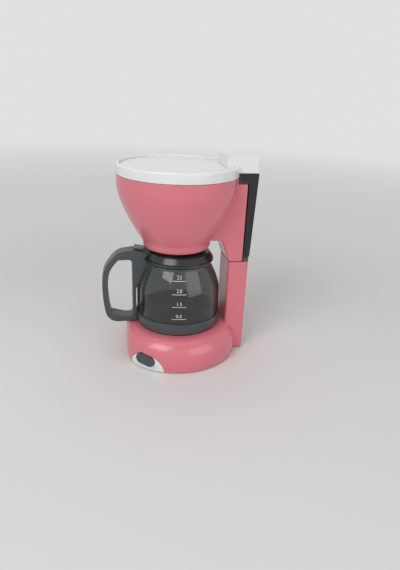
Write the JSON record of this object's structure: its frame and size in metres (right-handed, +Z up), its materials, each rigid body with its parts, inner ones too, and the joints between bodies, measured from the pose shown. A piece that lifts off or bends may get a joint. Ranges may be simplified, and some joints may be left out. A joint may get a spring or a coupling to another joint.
{
  "type": "toy coffee maker",
  "caption": "Toy drip coffee maker with a round bowl on a rear tower, a lift-off lid, a rear water tank, a push button and a lift-out jug with a D-shaped handle.",
  "frame": {"origin": "on the floor under the middle of the bounding box", "axes": "+Z up, -Y to the front where the jug comes out, +X to the side with the push button"},
  "size_m": [0.1224, 0.1464, 0.1984],
  "materials": {
    "pink_abs": "gloss pink",
    "white_abs": "gloss white",
    "gray_abs": "satin dark gray",
    "black_abs": "gloss black",
    "smoked_clear": "clear smoked",
    "rubber_pad": "matte",
    "steel_plate": "plated",
    "cell_sleeve": "gloss sleeve",
    "clear_hose": "soft translucent",
    "wire_red": "satin",
    "wire_blue": "satin",
    "wire_black": "satin"
  },
  "bodies": {
    "machine": {"base_housing": "pink_abs", "upper_housing": "pink_abs", "warming_plate": "black_abs", "bottom_cover": "white_abs", "battery_door": "white_abs", "door_screw": "steel_plate", "battery_1": "cell_sleeve", "battery_2": "cell_sleeve", "contact_spring_1": "steel_plate", "contact_spring_2": "steel_plate", "contact_bridge": "steel_plate", "contact_plus": "steel_plate", "contact_minus": "steel_plate", "switch_panel": "white_abs", "switch_unit": "black_abs", "pump_motor": "steel_plate", "pump_head": "black_abs", "feed_hose": "clear_hose", "rise_hose": "clear_hose", "wire_red": "wire_red", "wire_blue": "wire_blue", "wire_black": "wire_black", "drip_spout": "black_abs", "water_tank": "smoked_clear", "tank_foot": "gray_abs", "foot_1": "rubber_pad", "foot_2": "rubber_pad", "foot_3": "rubber_pad", "foot_4": "rubber_pad", "cover_screw_1": "steel_plate", "cover_screw_2": "steel_plate", "cover_screw_3": "steel_plate"},
    "lid": {"lid_frame": "white_abs", "lid_disc": "white_abs"},
    "jug": {"jug_glass": "smoked_clear", "jug_band": "gray_abs", "jug_collar": "black_abs", "jug_lid": "black_abs", "jug_handle": "gray_abs"},
    "button": {"switch_button": "gray_abs"},
    "impeller": {"motor_shaft": "steel_plate", "pump_impeller": "white_abs"}
  },
  "joints": [
    {"name": "lid_lift", "type": "slide", "parent": "machine", "child": "lid", "axis": [0, 0, 1], "range_m": [0, 0.04]},
    {"name": "jug_pull", "type": "slide", "parent": "machine", "child": "jug", "axis": [0, -1, 0], "range_m": [0, 0.105]},
    {"name": "button_press", "type": "slide", "parent": "machine", "child": "button", "axis": [-0.788, 0.6157, 0], "range_m": [0, 0.0015], "stiffness_N_per_m": 400},
    {"name": "impeller_spin", "type": "hinge", "parent": "machine", "child": "impeller", "pos_m": [0.022, 0.007, 0.013], "axis": [0, 1, 0], "continuous": true}
  ]
}
